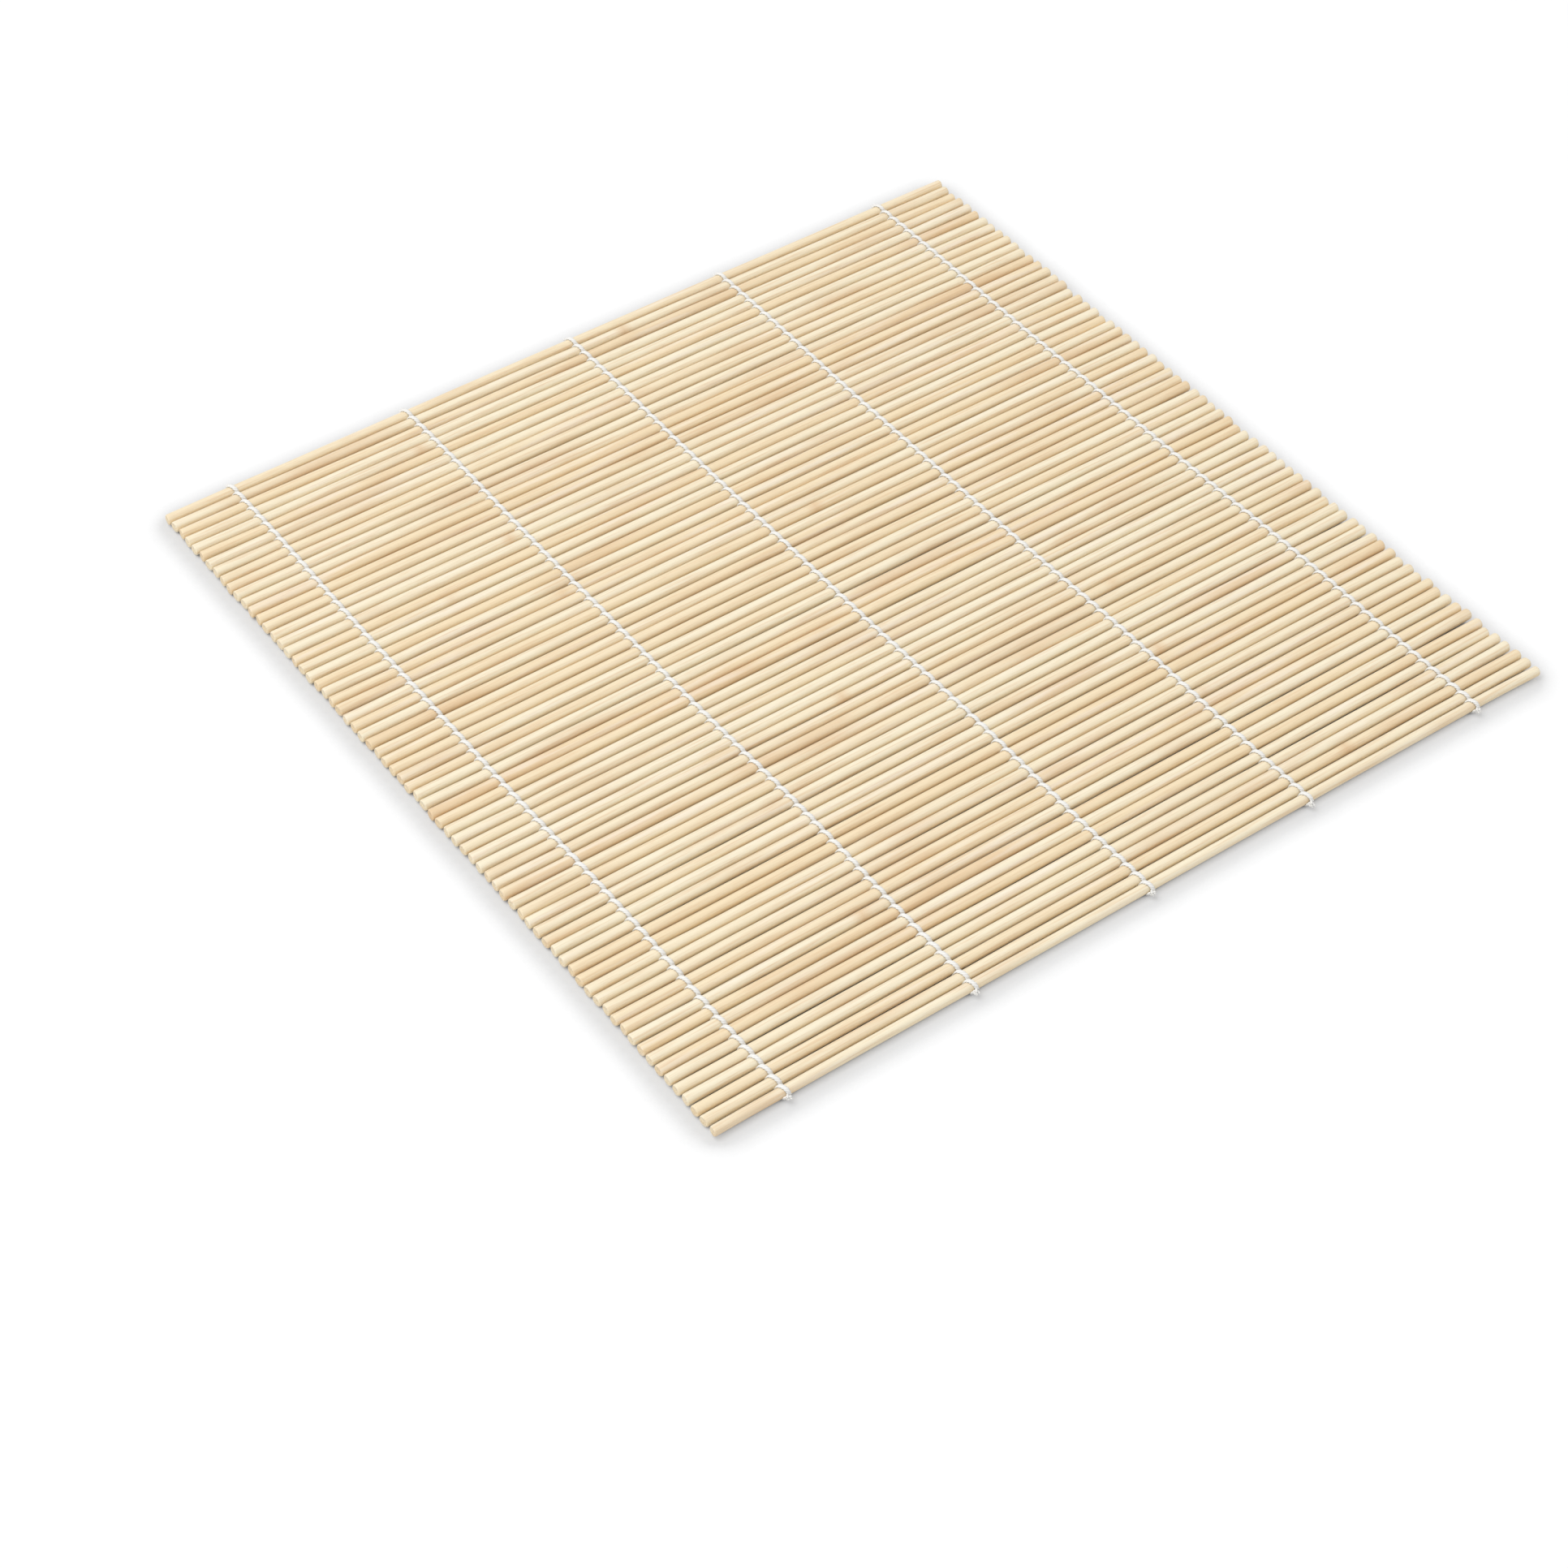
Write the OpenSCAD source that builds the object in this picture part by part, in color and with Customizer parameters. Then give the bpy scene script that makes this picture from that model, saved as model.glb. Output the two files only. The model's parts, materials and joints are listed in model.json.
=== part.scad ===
// Sushi rolling mat: a row of thin bamboo sticks held side by side by five
// twined cotton strings. X runs along the sticks, Y from the near edge to the
// far edge, Z up. The origin is on the table, under the middle of the mat.
// The sticks are grouped in rows that hinge on the string crossings, so the
// mat rolls up from its near edge.

/* [Sticks] */
// Length of the longest stick
stick_length = 240; // [180:1:300]
// Mean diameter of a stick
stick_width = 2.8; // [2.4:0.1:3.4]
// How much the diameter of single sticks differs, each way
width_spread = 0.08; // [0:0.02:0.12]
// How much slimmer the near edge's stick is
edge_slim = 0.3; // [0:0.1:0.4]
// How far a stick may be cut short at its left end
ragged_left = 0.3; // [0:0.1:1.5]
// How far a stick may be cut short at its right end
ragged_right = 0.9; // [0:0.1:2.5]
// Chamfer worn on the sawn ends
end_chamfer = 0.25; // [0.1:0.05:0.5]

/* [Strings] */
// Gap between two sticks, where the strings cross
stick_gap = 0.54; // [0.5:0.02:0.7]
// Thickness of a strand, pressed flat against the stick
strand_thick = 0.4; // [0.3:0.02:0.44]
// Width of a strand along the stick
strand_width = 0.7; // [0.5:0.05:0.8]
// Sideways step of a strand from the string's line at a crossing
strand_step = 0.46; // [0.42:0.01:0.6]
// Length of the loose tail past a knot
tail_length = 1.0; // [0.5:0.1:1.2]

/* [Hidden] */
$fn = 48;
// Sticks in each row near the far edge, and in each of the other rows
outer_row = 3;
inner_row = 2;
// Numbers of those rows
outer_rows = 12;
inner_rows = 17;
// Places of the five strings along the sticks
string_x = [-101.5, -51.1, -1.1, 46.4, 98.9];
// Part of a strand that is pressed flat where the mat rests
foot_cut = 0.05;
// Free angle that each strand end leaves at a hinge
hinge_trim = 3;
// Diameters of the knot's core and of its turns
knot_core = 0.9;
knot_turn = 0.6;
tail_splay = 25;
seed = 11;

rows = outer_rows + inner_rows;
sticks = outer_row * outer_rows + inner_row * inner_rows;

// A fixed scatter between -1 and 1 for stick i, one for each kind of use
scatter = [for (kind = [0 : 2]) rands(-1, 1, sticks, seed + kind)];
function slimmer(i) = i == sticks - 1 ? edge_slim : 0;
function radius(i) = (stick_width + width_spread * scatter[0][i] - slimmer(i)) / 2;
function full_length(i) = i % 9 == 0 || i >= sticks - 4;
function cut_left(i) = full_length(i) ? 0 : ragged_left * abs(scatter[1][i]);
function cut_right(i) = full_length(i) ? 0 : ragged_right * pow(scatter[2][i], 2);

// Sticks are counted from the far edge, so their places go down in Y
pitches = [for (i = [1 : sticks - 1]) radius(i - 1) + stick_gap + radius(i)];
function span(i) = i == 0 ? 0 : span(i - 1) + pitches[i - 1];
half_span = (span(sticks - 1) + radius(0) + radius(sticks - 1)) / 2;
stick_y = [for (i = [0 : sticks - 1]) half_span - radius(0) - span(i)];

// A strand lies on an arch round its stick, turned by its lean in plan
mid_gap = stick_gap / 2;
function lean(i) = atan(strand_step / (radius(i) + mid_gap));
function arch_radius(i) = (radius(i) + mid_gap) / cos(lean(i));
widest = max([for (i = [0 : sticks - 1]) arch_radius(i)]);
centre_z = widest + strand_thick / 2 - foot_cut;

// Rows are counted from the far edge too
function row_size(r) = r <= outer_rows ? outer_row : inner_row;
function row_first(r) = r == 1 ? 0 : row_first(r - 1) + row_size(r - 1);
function row_last(r) = row_first(r) + row_size(r) - 1;
function hinge_y(r) = stick_y[row_last(r)] - radius(row_last(r)) - mid_gap;
// The hinge line lies a little above the middle, where the strands pinch
hinge_z = centre_z + 0.3;

function two_digits(n) = n < 10 ? str("0", n) : str(n);
function row_names(word) = [for (r = [1 : rows]) str(word, "_", two_digits(r))];
echo(sticks = sticks, centre_z = centre_z, hinge_z = hinge_z);
echo(hinges = [for (r = [1 : rows - 1]) hinge_y(r)]);
echo(stick_y = stick_y);
echo(stick_r = [for (i = [0 : sticks - 1]) radius(i)]);
echo(arch_r = [for (i = [0 : sticks - 1]) arch_radius(i)]);

// One stick: a round rod with worn ends
module stick(i) {
    left = -stick_length / 2 + cut_left(i);
    length = stick_length / 2 - cut_right(i) - left;
    r = radius(i);
    translate([left, stick_y[i], centre_z])
        rotate([0, 90, 0]) {
            cylinder(h = end_chamfer, r1 = r - end_chamfer, r2 = r);
            translate([0, 0, end_chamfer])
                cylinder(h = length - 2 * end_chamfer, r = r);
            translate([0, 0, length - end_chamfer])
                cylinder(h = end_chamfer, r1 = r, r2 = r - end_chamfer);
        }
}

// The sticks of row r
module row_of_sticks(r) {
    color("#ecd3a3")
        for (i = [row_first(r) : row_last(r)]) stick(i);
}

// Section of a strand: flat with round sides
module strand_section() {
    side = (strand_width - strand_thick) / 2;
    square([strand_thick, 2 * side], center = true);
    for (s = [-1, 1]) translate([0, s * side]) circle(d = strand_thick);
}

// A strand's arch over stick i, or under it, cut back by trims at its ends
module arch(i, over, near_trim, far_trim) {
    flip = over ? 0 : 1;
    turn = over ? 90 + lean(i) : 90 - lean(i);
    translate([0, stick_y[i], centre_z])
        mirror([0, 0, flip])
            rotate([90, 0, turn])
                rotate([0, 0, far_trim])
                    rotate_extrude(angle = 180 - near_trim - far_trim)
                        translate([arch_radius(i), 0]) strand_section();
}

// One strand's run over and under the sticks of row r
module strand(r, phase) {
    for (i = [row_first(r) : row_last(r)]) {
        far_trim = i == row_first(r) && r > 1 ? hinge_trim : 0;
        near_trim = i == row_last(r) && r < rows ? hinge_trim : 0;
        arch(i, (i + phase) % 2 == 0, near_trim, far_trim);
    }
}

// The two strands of every string on row r, pressed flat where they rest
module row_of_strings(r) {
    color("#f7f6f2")
        for (x = string_x, phase = [0, 1])
            difference() {
                translate([x, 0, 0]) strand(r, phase);
                translate([x - 2, stick_y[row_last(r)] - 4, -1])
                    cube([4, stick_width * (row_size(r) + 4), 1]);
            }
}

// A knot past the edge stick: two turns on a core, and two short tails
module knot(x, y, way) {
    translate([x, y, centre_z])
        rotate([way * -90, 0, 0]) {
            cylinder(h = 2 * knot_turn, d = knot_core);
            for (k = [0, 1])
                translate([0, 0, knot_turn * (k + 0.5)])
                    rotate_extrude() translate([knot_core / 2, 0]) circle(d = knot_turn);
            for (s = [-1, 1])
                translate([s * 0.15, 0, 2 * knot_turn - 0.3])
                    rotate([0, s * tail_splay, 0])
                        cylinder(h = tail_length, d = strand_thick);
        }
}

// The knots of one edge, on the side of stick i that way points to
module row_of_knots(i, way) {
    color("#f3f1ea")
        for (x = string_x)
            knot(x, stick_y[i] + way * (radius(i) + mid_gap - 0.1), way);
}

for (r = [1 : rows]) {
    row_of_sticks(r);
    row_of_strings(r);
}
row_of_knots(0, 1);  // knots_far
row_of_knots(sticks - 1, -1);  // knots_near
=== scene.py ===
"""Looks of a sushi rolling mat: bamboo sticks held side by side by twined cotton strings.

Everything is in metres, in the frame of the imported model: X runs along the sticks, Y from the
near edge to the far edge, and Z up. The sticks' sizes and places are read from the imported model,
and the strings follow them, so that every piece lies where its solid does.
"""

from __future__ import annotations

import json
import logging
import math
from collections.abc import Iterable, Mapping, Sequence
from dataclasses import dataclass, field
from enum import Enum

import bpy
import numpy as np
from mathutils import Matrix, Vector

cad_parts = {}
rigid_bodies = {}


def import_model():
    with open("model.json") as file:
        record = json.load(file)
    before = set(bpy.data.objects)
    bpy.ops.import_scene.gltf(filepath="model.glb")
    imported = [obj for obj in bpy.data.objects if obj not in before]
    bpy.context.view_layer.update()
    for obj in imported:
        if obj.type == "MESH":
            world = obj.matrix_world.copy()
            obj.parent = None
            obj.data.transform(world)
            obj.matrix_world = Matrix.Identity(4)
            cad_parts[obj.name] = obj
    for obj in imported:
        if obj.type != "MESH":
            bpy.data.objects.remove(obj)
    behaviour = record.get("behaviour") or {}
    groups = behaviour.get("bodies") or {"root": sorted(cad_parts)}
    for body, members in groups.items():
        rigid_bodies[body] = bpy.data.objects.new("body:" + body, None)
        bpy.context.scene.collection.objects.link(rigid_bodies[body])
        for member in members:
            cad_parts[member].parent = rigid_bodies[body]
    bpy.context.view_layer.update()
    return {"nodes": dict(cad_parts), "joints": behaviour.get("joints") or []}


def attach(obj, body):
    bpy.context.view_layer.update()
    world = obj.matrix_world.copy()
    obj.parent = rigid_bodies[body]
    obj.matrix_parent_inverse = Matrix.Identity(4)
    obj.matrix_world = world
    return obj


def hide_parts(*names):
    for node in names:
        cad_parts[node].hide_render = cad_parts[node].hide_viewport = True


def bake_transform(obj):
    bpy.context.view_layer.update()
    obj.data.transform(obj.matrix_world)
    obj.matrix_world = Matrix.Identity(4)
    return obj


LOG = logging.getLogger("rolling_mat")
MM = 0.001


class Slot(Enum):
    """The material slots of the mat's record."""

    BAMBOO = "bamboo"
    COTTON = "cotton_string"


class Side(Enum):
    """The two edges that the strings end at, by the sign of their Y."""

    FAR = 1
    NEAR = -1


# Node trees


@dataclass(frozen=True)
class Wire:
    """An output socket whose sums and products add Math nodes to its tree."""

    sheet: Sheet
    socket: bpy.types.NodeSocket

    def _math(self, operation: str, *values: Value) -> Wire:
        """The result of a Math node with these inputs, in order."""
        node = self.sheet.add("ShaderNodeMath", {"operation": operation}, dict(enumerate(values)))
        return node.out("Value")

    def __add__(self, other: Value) -> Wire:
        """This plus other."""
        return self._math("ADD", self, other)

    __radd__ = __add__

    def __sub__(self, other: Value) -> Wire:
        """This minus other."""
        return self._math("SUBTRACT", self, other)

    def __rsub__(self, other: Value) -> Wire:
        """Other minus this."""
        return self._math("SUBTRACT", other, self)

    def __mul__(self, other: Value) -> Wire:
        """This times other."""
        return self._math("MULTIPLY", self, other)

    __rmul__ = __mul__

    def __truediv__(self, other: Value) -> Wire:
        """This over other."""
        return self._math("DIVIDE", self, other)

    def __rtruediv__(self, other: Value) -> Wire:
        """Other over this."""
        return self._math("DIVIDE", other, self)

    def cosine(self) -> Wire:
        """The cosine of this, in radians."""
        return self._math("COSINE", self)

    def sine(self) -> Wire:
        """The sine of this, in radians."""
        return self._math("SINE", self)

    def size(self) -> Wire:
        """This without its sign."""
        return self._math("ABSOLUTE", self)

    def at_least(self, other: Value) -> Wire:
        """The larger of this and other."""
        return self._math("MAXIMUM", self, other)

    def ramp(self, low: float, high: float) -> Wire:
        """A smooth step of this, from 0 at the low value to 1 at the high one."""
        inputs = {"Value": self, "From Min": low, "From Max": high}
        settings = {"interpolation_type": "SMOOTHSTEP"}
        return self.sheet.add("ShaderNodeMapRange", settings, inputs).out("Result")


Value = Wire | float | Sequence[float] | str | bool | bpy.types.Material


@dataclass(frozen=True)
class Added:
    """A node that has been added to a tree."""

    sheet: Sheet
    node: bpy.types.Node

    def out(self, name: str) -> Wire:
        """The node's enabled output of that name."""
        found = next(s for s in self.node.outputs if s.name == name and s.enabled)
        return Wire(self.sheet, found)


@dataclass(frozen=True)
class Sheet:
    """A shader or geometry tree that nodes are added to."""

    tree: bpy.types.NodeTree

    def add(
        self,
        kind: str,
        settings: Mapping[str, object] | None = None,
        inputs: Mapping[str | int, Value] | None = None,
    ) -> Added:
        """Adds a node.

        Args:
            kind: the node's type.
            settings: its properties, set first.
            inputs: links or values for its sockets, by name or number.

        Returns:
            The node in its tree.
        """
        node = self.tree.nodes.new(kind)
        for name, setting in (settings or {}).items():
            setattr(node, name, setting)
        self.feed(node, inputs or {})
        return Added(self, node)

    def feed(self, node: bpy.types.Node, inputs: Mapping[str | int, Value]) -> None:
        """Links wires to a node's sockets, or sets the sockets' own values."""
        for name, value in inputs.items():
            socket = self._socket(node, name)
            if isinstance(value, Wire):
                self.tree.links.new(value.socket, socket)
            else:
                socket.default_value = value

    @staticmethod
    def _socket(node: bpy.types.Node, name: str | int) -> bpy.types.NodeSocket:
        """The node's input of that number, or its enabled input of that name."""
        if isinstance(name, int):
            return node.inputs[name]
        return next(s for s in node.inputs if s.name == name and s.enabled)

    def noise(self, place: Wire, detail: float = 2.0, rough: float = 0.5) -> Wire:
        """Noise between 0 and 1 at a place, from layers of that detail and roughness."""
        inputs = {"Vector": place, "Scale": 1.0, "Detail": detail, "Roughness": rough}
        return self.add("ShaderNodeTexNoise", {"noise_dimensions": "3D"}, inputs).out("Fac")

    def vector(self, x: Value, y: Value, z: Value) -> Wire:
        """A vector from its three parts."""
        return self.add("ShaderNodeCombineXYZ", None, {"X": x, "Y": y, "Z": z}).out("Vector")

    def parts(self, vector: Wire) -> tuple[Wire, Wire, Wire]:
        """The three parts of a vector."""
        node = self.add("ShaderNodeSeparateXYZ", None, {"Vector": vector})
        return node.out("X"), node.out("Y"), node.out("Z")

    def carried(self, name: str, output: str = "Fac") -> Wire:
        """Reads what the piece's mesh carries, in a material."""
        return self.add("ShaderNodeAttribute", {"attribute_name": name}).out(output)

    def bump(self, strength: float, distance: float, height: Wire) -> Wire:
        """A normal that stands in for a height."""
        inputs = {"Strength": strength, "Distance": distance, "Height": height}
        return self.add("ShaderNodeBump", None, inputs).out("Normal")

    def blend_colours(self, share: Value, one: Value, two: Value, mode: str = "MIX") -> Wire:
        """A mix of two colours, with that share of the second one."""
        settings = {"data_type": "RGBA", "blend_type": mode}
        inputs = {"Factor": share, "A": one, "B": two}
        return self.add("ShaderNodeMix", settings, inputs).out("Result")


def rgba(colour: Sequence[float]) -> tuple[float, float, float, float]:
    """A colour with full alpha."""
    return (colour[0], colour[1], colour[2], 1.0)


def put(name: str, data: bpy.types.ID) -> bpy.types.Object:
    """Adds an object with this data to the scene."""
    thing = bpy.data.objects.new(name, data)
    bpy.context.scene.collection.objects.link(thing)
    return thing


# Finishes


@dataclass(frozen=True)
class Finish:
    """What every surface finish shares."""

    name: str

    def sheet(self) -> tuple[bpy.types.Material, Sheet, bpy.types.Node]:
        """Makes an empty material.

        Returns:
            The material, its tree and its shader node.
        """
        material = bpy.data.materials.new(self.name)
        material.use_nodes = True
        material.node_tree.nodes.clear()
        sheet = Sheet(material.node_tree)
        shader = sheet.add("ShaderNodeBsdfPrincipled")
        sheet.add("ShaderNodeOutputMaterial", None, {"Surface": shader.out("BSDF")})
        return material, sheet, shader.node


@dataclass(frozen=True)
class Grain:
    """One layer of the bamboo's grain.

    Attributes:
        along: its waves in each metre along the stick.
        across: its waves in each metre across the stick.
        shows: the noise values between which it comes in.
        share: how much of its tint is used.
        detail: how many finer layers its noise has.
        rough: how strong those layers are.
        way: which way its noise moves with the stick's tone.
    """

    along: float
    across: float
    shows: tuple[float, float]
    share: float
    detail: float
    rough: float
    way: float = 1.0

    def strength(self, noise: Wire) -> Wire:
        """How strongly the layer's tint is used where its noise has this value."""
        return noise.ramp(*self.shows) * self.share


@dataclass(frozen=True)
class BambooFinish(Finish):
    """Planed and bleached bamboo: fibres along the stick, with tan stains and sawn ends.

    Attributes:
        cream: the palest sticks.
        straw: the darkest sticks.
        tan: fibres, stains and scars.
        pale: bleached patches.
        pore: bundles of fibres on the sawn ends.
        painted_gap_bounce: what the flanks' colour is multiplied by: painted warm bounce light in
            the shaded gaps between sticks.
        axis: the height of the sticks' middle.
        flank: the shares of the height round it between which that tint comes in.
        flank_height: how far from the middle that share is 0.
        broad: wide streaks.
        fine: single fibres.
        stain: long tan stains.
        blush: bleached patches.
        scar_share: how tan a scar is.
        pore_scale: how fine the pores are.
        pore_share: how strong they are.
        roughness: the least roughness.
        dull: how much rougher the fibres are.
        relief: how deep the grain is cut.
        fibre_step: the height that the relief stands for.
    """

    cream: tuple[float, float, float] = (0.805, 0.726, 0.55)
    straw: tuple[float, float, float] = (0.775, 0.636, 0.425)
    tan: tuple[float, float, float] = (0.64, 0.43, 0.24)
    pale: tuple[float, float, float] = (0.82, 0.73, 0.61)
    pore: tuple[float, float, float] = (0.48, 0.33, 0.18)
    # Painted light: a warm, brighter tint on the flanks stands in for light bounced between the
    # sticks in the shaded gaps.
    painted_gap_bounce: tuple[float, float, float] = (1.12, 1.075, 0.985)
    axis: float = 1.92 * MM
    flank: tuple[float, float] = (0.38, 0.95)
    flank_height: float = MM / 0.7
    broad: Grain = Grain(45.0, 1500.0, (0.48, 0.72), 0.45, 3.0, 0.6)
    fine: Grain = Grain(160.0, 6500.0, (0.52, 0.7), 0.34, 2.0, 0.6)
    stain: Grain = Grain(16.0, 70.0, (0.5, 0.72), 0.55, 3.0, 0.55)
    blush: Grain = Grain(30.0, 500.0, (0.52, 0.72), 0.5, 2.0, 0.5, -1.0)
    scar_share: float = 0.6
    pore_scale: float = 3600.0
    pore_share: float = 0.55
    roughness: float = 0.52
    dull: float = 0.16
    relief: float = 0.6
    fibre_step: float = 0.04 * MM

    def build(self) -> bpy.types.Material:
        """Makes the material."""
        material, sheet, shader = self.sheet()
        x, y, z = sheet.parts(sheet.add("ShaderNodeTexCoord").out("Object"))
        tone = sheet.carried("tone")
        shift = tone * 5.0

        def read(grain: Grain, above: Value) -> Wire:
            """A layer's noise, read at its own spot for each stick's tone."""
            spot = sheet.vector(x * grain.along + shift * grain.way, y * grain.across, above)
            return sheet.noise(spot, grain.detail, grain.rough)

        broad = read(self.broad, z * self.broad.across)
        fine = read(self.fine, z * self.fine.across)
        stain = read(self.stain, 0.0)
        blush = read(self.blush, z * self.blush.across)
        # Painted light: the flanks at the sticks' middle height face the gaps, and these get the
        # warm bounce tint.
        flank = (1.0 - (z - self.axis).size() / self.flank_height).ramp(*self.flank)
        colour = sheet.blend_colours(tone.ramp(0.1, 0.9), rgba(self.cream), rgba(self.straw))
        for share, tint, mode in (
            (self.stain.strength(stain), self.tan, "MIX"),
            (self.blush.strength(blush), self.pale, "MIX"),
            (self.broad.strength(broad), self.tan, "MIX"),
            (self.fine.strength(fine), self.tan, "MIX"),
            (sheet.carried("scar") * self.scar_share, self.tan, "MIX"),
            (flank, self.painted_gap_bounce, "MULTIPLY"),
            (self._end_grain(sheet, y, z), self.pore, "MIX"),
        ):
            colour = sheet.blend_colours(share, colour, rgba(tint), mode)
        roughness = self.roughness + fine * self.dull
        normal = sheet.bump(self.relief, self.fibre_step, broad * 0.6 + fine * 0.4)
        sheet.feed(shader, {"Base Color": colour, "Roughness": roughness, "Normal": normal})
        return material

    def _end_grain(self, sheet: Sheet, y: Wire, z: Wire) -> Wire:
        """Dark bundles of fibres, cut across, that show on the sawn ends only."""
        dots = sheet.add(
            "ShaderNodeTexVoronoi",
            {"voronoi_dimensions": "3D", "feature": "F1"},
            {"Vector": sheet.vector(y, z, 0.0), "Scale": self.pore_scale},
        )
        bundles = 1.0 - dots.out("Distance").ramp(0.2, 0.5)
        return bundles * sheet.carried("sawn") * self.pore_share


@dataclass(frozen=True)
class CottonFinish(Finish):
    """White cotton twine: matt, with shaded grooves between its plies and fine fibres.

    Attributes:
        light: the plies' crests.
        shade: the grooves and the darker fibres.
        groove_share: how much of the shade a groove takes.
        fibre_share: how much of the shade a fibre takes.
        fuzz: the sheen of the loose fibres.
        roughness: how matt the twine is.
        relief: how deep the fibres are cut.
        fibre_step: the height that the relief stands for.
    """

    light: tuple[float, float, float] = (0.86, 0.85, 0.82)
    shade: tuple[float, float, float] = (0.67, 0.655, 0.625)
    groove_share: float = 0.7
    fibre_share: float = 0.25
    fuzz: float = 0.25
    roughness: float = 0.9
    relief: float = 0.8
    fibre_step: float = 0.03 * MM

    def build(self) -> bpy.types.Material:
        """Makes the material."""
        material, sheet, shader = self.sheet()
        fibre = sheet.noise(sheet.carried("lay", "Vector"), 3.0, 0.65)
        groove = (1.0 - sheet.carried("crest")) * self.groove_share
        dark_fibre = fibre.ramp(0.5, 0.8) * self.fibre_share
        colour = sheet.blend_colours(groove, rgba(self.light), rgba(self.shade))
        colour = sheet.blend_colours(dark_fibre, colour, rgba(self.shade))
        normal = sheet.bump(self.relief, self.fibre_step, fibre)
        sheet.feed(shader, {"Base Color": colour, "Roughness": self.roughness, "Normal": normal})
        sheet.feed(shader, {"Sheen Weight": self.fuzz})
        return material


@dataclass(frozen=True)
class FloorFinish(Finish):
    """A pale floor that the camera sees as white away from the mat's soft shadow.

    Attributes:
        colour: what the mat is lit with from below.
        plain: what the camera sees of the colour.
        lift: white that only the camera sees.
        reach: how far the soft shadow round the mat goes.
        shadow: how strong that shadow is for each part of the sky that is covered.
        darkest: the most that it takes off the white.
        under: the parts of the sky between which the white goes, under the mat.
        roughness: how matt the floor is.
        gloss: how little it mirrors.
    """

    colour: tuple[float, float, float] = (0.70, 0.701, 0.706)
    plain: tuple[float, float, float] = (0.32, 0.321, 0.324)
    lift: float = 0.635
    reach: float = 7.5 * MM
    shadow: float = 1.8
    darkest: float = 0.25
    under: tuple[float, float] = (0.08, 0.4)
    roughness: float = 0.9
    gloss: float = 0.1

    def build(self) -> bpy.types.Material:
        """Makes the material."""
        material, sheet, shader = self.sheet()
        seen = sheet.add("ShaderNodeLightPath").out("Is Camera Ray")
        colour = sheet.blend_colours(seen, rgba(self.colour), rgba(self.plain))
        sheet.feed(shader, {"Base Color": colour, "Roughness": self.roughness})
        sheet.feed(shader, {"Specular IOR Level": self.gloss})
        sky = sheet.add("ShaderNodeAmbientOcclusion", None, {"Distance": self.reach}).out("AO")
        white = self.lift - (1.0 - sky) * self.shadow
        white = white.at_least(self.lift - self.darkest) * sky.ramp(*self.under)
        sheet.feed(shader, {"Emission Color": seen * white, "Emission Strength": 1.0})
        return material


# Geometry trees


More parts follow.
